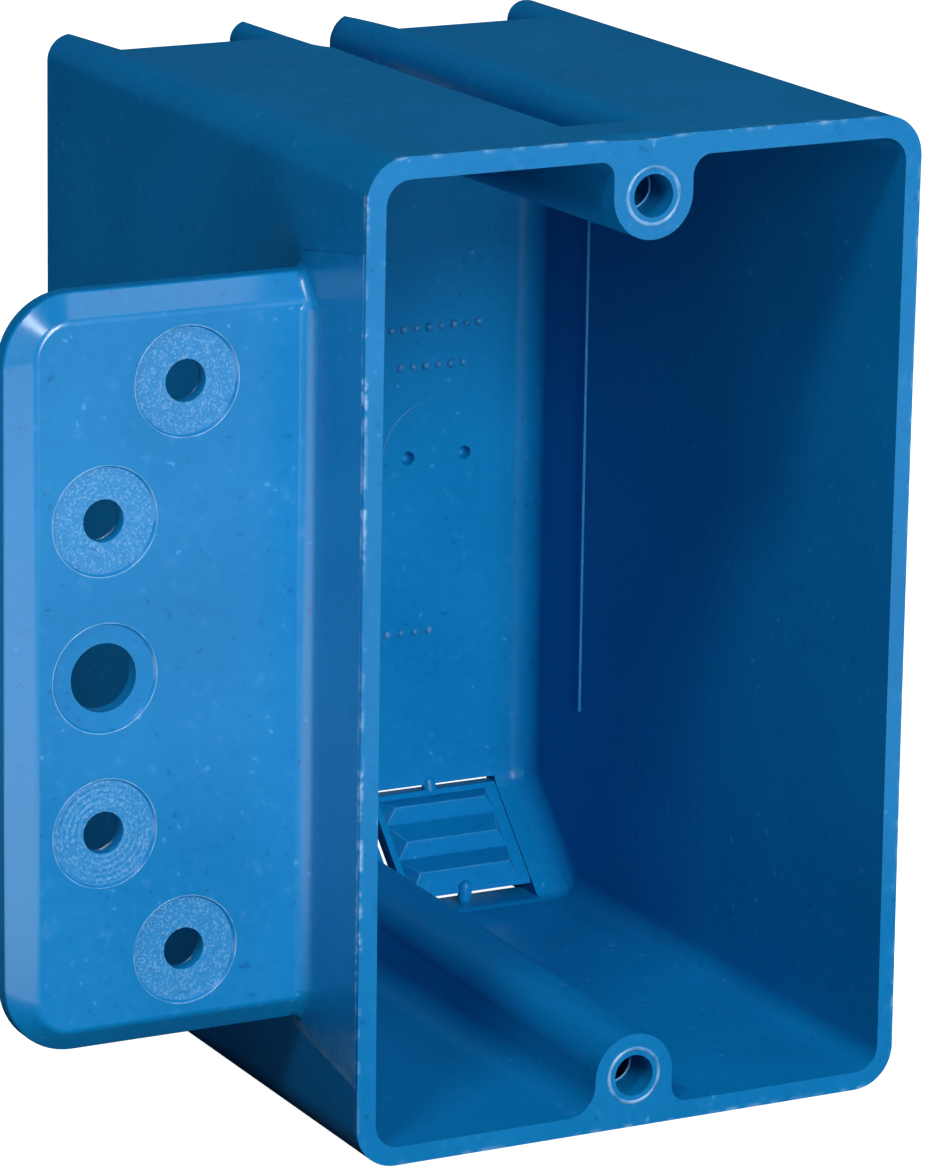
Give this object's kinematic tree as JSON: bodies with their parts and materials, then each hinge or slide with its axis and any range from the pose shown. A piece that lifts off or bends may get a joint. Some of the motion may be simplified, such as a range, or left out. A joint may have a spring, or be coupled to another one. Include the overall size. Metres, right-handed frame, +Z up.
{
  "type": "outlet box",
  "caption": "Deep moulded plastic device box, open at the front, with screw bosses, break-out cable flaps in the back corners and a side bracket flange for nailing or screwing to a stud.",
  "frame": {"origin": "centre of the bottom of the bounding box, the box standing on its bottom wall", "axes": "+X to the right seen from the open front, +Y from the open front towards the back wall, +Z up"},
  "size_m": [0.0866, 0.071, 0.0939],
  "materials": {
    "blue_pvc": "satin moulded blue PVC with faint mould texture"
  },
  "bodies": {
    "root": {"outlet_box": "blue_pvc"}
  },
  "joints": []
}
